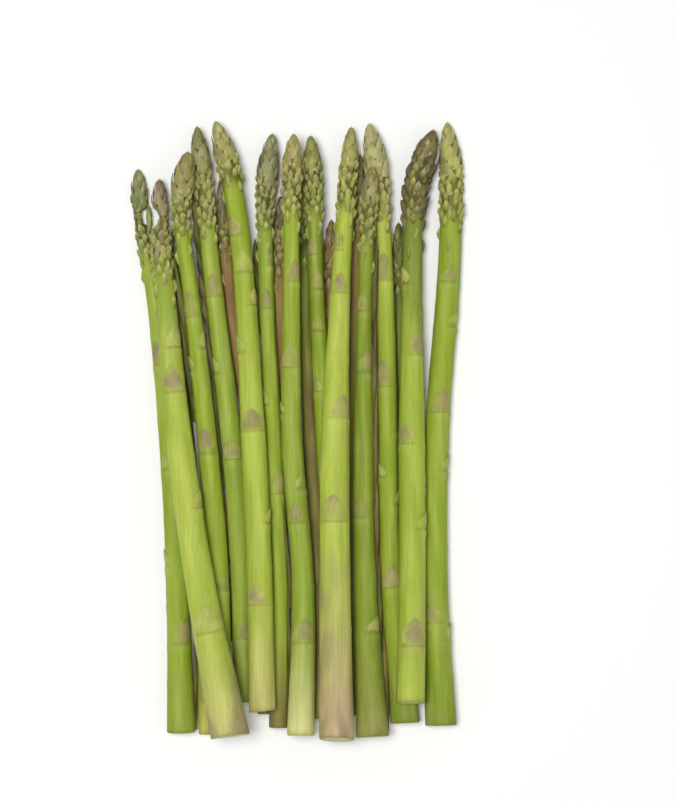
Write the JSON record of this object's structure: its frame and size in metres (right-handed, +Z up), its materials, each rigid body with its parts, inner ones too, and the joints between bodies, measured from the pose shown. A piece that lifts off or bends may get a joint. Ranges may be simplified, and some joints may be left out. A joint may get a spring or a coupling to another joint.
{
  "type": "bundle of asparagus",
  "caption": "Loose bundle of fresh green asparagus spears lying side by side and over each other, all tips one way, with pressed scale leaves and trimmed ends.",
  "frame": {"origin": "middle of the bundle's box, on the surface that it lies on", "axes": "+Z up from that surface, +Y along the spears towards their tips, +X across the bundle"},
  "size_m": [0.1244, 0.2308, 0.0294],
  "materials": {
    "green_spear": "satin vegetable skin, yellow-green, with mauve-tan scale leaves",
    "grey_green_spear": "satin vegetable skin, green, with a grey-green head",
    "mauve_green_spear": "satin vegetable skin, olive green with a mauve flush",
    "purple_green_spear": "satin vegetable skin, green, with a dark purple-brown head"
  },
  "bodies": {
    "root": {"spear_01": "green_spear", "spear_02": "green_spear", "spear_03": "green_spear", "spear_04": "green_spear", "spear_05": "green_spear", "spear_06": "grey_green_spear", "spear_07": "green_spear", "spear_08": "green_spear", "spear_09": "green_spear", "spear_10": "green_spear", "spear_11": "green_spear", "spear_12": "purple_green_spear", "spear_13": "green_spear", "spear_under_1": "green_spear", "spear_under_2": "mauve_green_spear", "spear_under_3": "mauve_green_spear", "spear_under_4": "green_spear", "spear_under_5": "purple_green_spear", "spear_under_6": "mauve_green_spear", "spear_under_7": "green_spear"}
  },
  "joints": []
}
